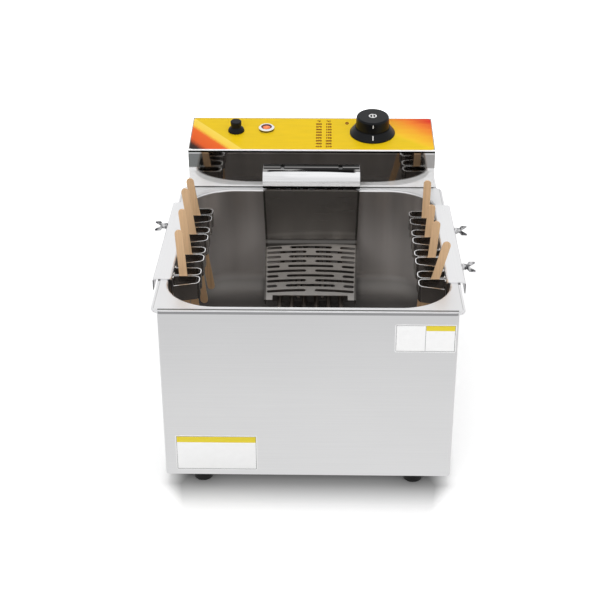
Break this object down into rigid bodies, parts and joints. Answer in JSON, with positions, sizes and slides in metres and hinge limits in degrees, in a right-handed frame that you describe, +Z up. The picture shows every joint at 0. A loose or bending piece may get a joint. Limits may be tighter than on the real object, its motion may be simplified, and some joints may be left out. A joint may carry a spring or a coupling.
{
  "type": "electric deep fryer",
  "caption": "Countertop electric deep fryer for food on sticks: deep basin, lift-out control head with a slotted heater guard, and side racks whose spring loops hold wooden sticks",
  "frame": {"origin": "on the worktop under the middle of the bounding box", "axes": "X to the right seen from the front, Y from the user towards the control head, Z up"},
  "size_m": [0.5014, 0.581, 0.4161],
  "materials": {
    "casing_steel": "satin folded sheet",
    "head_steel": "polished sheet",
    "basin_steel": "drawn and polished sheet",
    "rack_steel": "bright bent sheet",
    "guard_steel": "plain sheet with cut slots",
    "hood_chrome": "mirror bright",
    "fastener_steel": "plain",
    "element_tube": "heat darkened tube",
    "panel_film": "printed film",
    "knob_black": "moulded",
    "button_red": "moulded",
    "lens_amber": "clear moulded",
    "fitting_plastic": "moulded",
    "terminal_ceramic": "pale moulded",
    "foot_rubber": "moulded",
    "stick_wood": "plain sanded"
  },
  "bodies": {
    "fryer_base": {"outer_casing": "casing_steel", "rear_panel": "casing_steel", "rear_panel_screws": "fastener_steel", "base_pan": "casing_steel", "foot_front_left": "foot_rubber", "foot_front_right": "foot_rubber", "foot_rear_left": "foot_rubber", "foot_rear_right": "foot_rubber", "foot_screws": "fastener_steel", "basin": "basin_steel", "rear_deck": "casing_steel", "locating_pegs": "fastener_steel"},
    "control_head": {"head_base": "casing_steel", "head_housing": "head_steel", "head_cover": "casing_steel", "cover_screws": "fastener_steel", "cord_gland": "knob_black", "gland_nut": "knob_black", "panel_overlay": "panel_film", "thermostat_body": "fitting_plastic", "limit_thermostat": "fitting_plastic", "bush_nuts": "fastener_steel", "lamp_bezel": "hood_chrome", "lamp_lens": "lens_amber", "lamp_body": "fitting_plastic", "contactor": "fitting_plastic", "terminal_block": "terminal_ceramic", "microswitch": "fitting_plastic", "heating_element_left": "element_tube", "heating_element_middle": "element_tube", "heating_element_right": "element_tube", "mounting_plate": "head_steel", "element_nuts": "fastener_steel", "thermostat_bulb": "element_tube", "limit_bulb": "element_tube", "hood": "hood_chrome", "hood_screws": "fastener_steel", "heater_guard": "guard_steel", "comb_plates": "guard_steel"},
    "temperature_knob": {"control_knob": "knob_black", "thermostat_shaft": "fastener_steel"},
    "reset_cover": {"reset_cap": "knob_black"},
    "reset_plunger": {"reset_button": "button_red"},
    "left_rack": {"left_rack_bracket": "rack_steel", "left_spring_clips": "rack_steel", "left_weld_nuts": "fastener_steel"},
    "right_rack": {"right_rack_bracket": "rack_steel", "right_spring_clips": "rack_steel", "right_weld_nuts": "fastener_steel"},
    "left_clamp_screw": {"left_wing_screw_1": "fastener_steel"},
    "right_rear_clamp_screw": {"right_wing_screw_1": "fastener_steel"},
    "right_front_clamp_screw": {"right_wing_screw_2": "fastener_steel"},
    "left_food_stick_1": {"left_stick_1": "stick_wood"},
    "left_food_stick_2": {"left_stick_2": "stick_wood"},
    "left_food_stick_3": {"left_stick_3": "stick_wood"},
    "left_food_stick_4": {"left_stick_4": "stick_wood"},
    "right_food_stick_1": {"right_stick_1": "stick_wood"},
    "right_food_stick_2": {"right_stick_2": "stick_wood"},
    "right_food_stick_3": {"right_stick_3": "stick_wood"},
    "right_food_stick_4": {"right_stick_4": "stick_wood"}
  },
  "joints": [
    {"name": "head_lift", "type": "slide", "parent": "fryer_base", "child": "control_head", "axis": [0, 0, 1], "range_m": [0, 0.25]},
    {"name": "knob_turn", "type": "hinge", "parent": "control_head", "child": "temperature_knob", "pos_m": [0.1045, 0.22365, 0.38008], "axis": [0, 0.1564, -0.9877], "range_deg": [0, 300]},
    {"name": "reset_cap_off", "type": "slide", "parent": "control_head", "child": "reset_cover", "axis": [0, -0.1564, 0.9877], "range_m": [0, 0.03]},
    {"name": "reset_press", "type": "slide", "parent": "control_head", "child": "reset_plunger", "axis": [0, 0.1564, -0.9877], "range_m": [0, 0.0015], "stiffness_N_per_m": 400, "springref_m": -0.001},
    {"name": "left_rack_lift", "type": "slide", "parent": "fryer_base", "child": "left_rack", "axis": [0, 0, 1], "range_m": [0, 0.12]},
    {"name": "right_rack_lift", "type": "slide", "parent": "fryer_base", "child": "right_rack", "axis": [0, 0, 1], "range_m": [0, 0.12]},
    {"name": "left_clamp_turn", "type": "hinge", "parent": "left_rack", "child": "left_clamp_screw", "pos_m": [-0.231, 0.00706, 0.2988], "axis": [-1, 0, 0], "continuous": true},
    {"name": "right_rear_clamp_turn", "type": "hinge", "parent": "right_rack", "child": "right_rear_clamp_screw", "pos_m": [0.231, -0.00495, 0.2988], "axis": [1, 0, 0], "continuous": true},
    {"name": "right_front_clamp_turn", "type": "hinge", "parent": "right_rack", "child": "right_front_clamp_screw", "pos_m": [0.231, -0.13651, 0.2988], "axis": [1, 0, 0], "continuous": true},
    {"name": "left_stick_1_pull", "type": "slide", "parent": "left_rack", "child": "left_food_stick_1", "axis": [-0.0541, 0, 0.9985], "range_m": [0, 0.15]},
    {"name": "left_stick_2_pull", "type": "slide", "parent": "left_rack", "child": "left_food_stick_2", "axis": [-0.0854, 0, 0.9963], "range_m": [0, 0.15]},
    {"name": "left_stick_3_pull", "type": "slide", "parent": "left_rack", "child": "left_food_stick_3", "axis": [-0.1201, 0, 0.9928], "range_m": [0, 0.15]},
    {"name": "left_stick_4_pull", "type": "slide", "parent": "left_rack", "child": "left_food_stick_4", "axis": [-0.1461, 0, 0.9893], "range_m": [0, 0.15]},
    {"name": "right_stick_1_pull", "type": "slide", "parent": "right_rack", "child": "right_food_stick_1", "axis": [0.2504, 0, 0.9681], "range_m": [0, 0.15]},
    {"name": "right_stick_2_pull", "type": "slide", "parent": "right_rack", "child": "right_food_stick_2", "axis": [0.0872, 0, 0.9962], "range_m": [0, 0.15]},
    {"name": "right_stick_3_pull", "type": "slide", "parent": "right_rack", "child": "right_food_stick_3", "axis": [0.0576, 0, 0.9983], "range_m": [0, 0.15]},
    {"name": "right_stick_4_pull", "type": "slide", "parent": "right_rack", "child": "right_food_stick_4", "axis": [0.0175, 0, 0.9998], "range_m": [0, 0.15]}
  ]
}
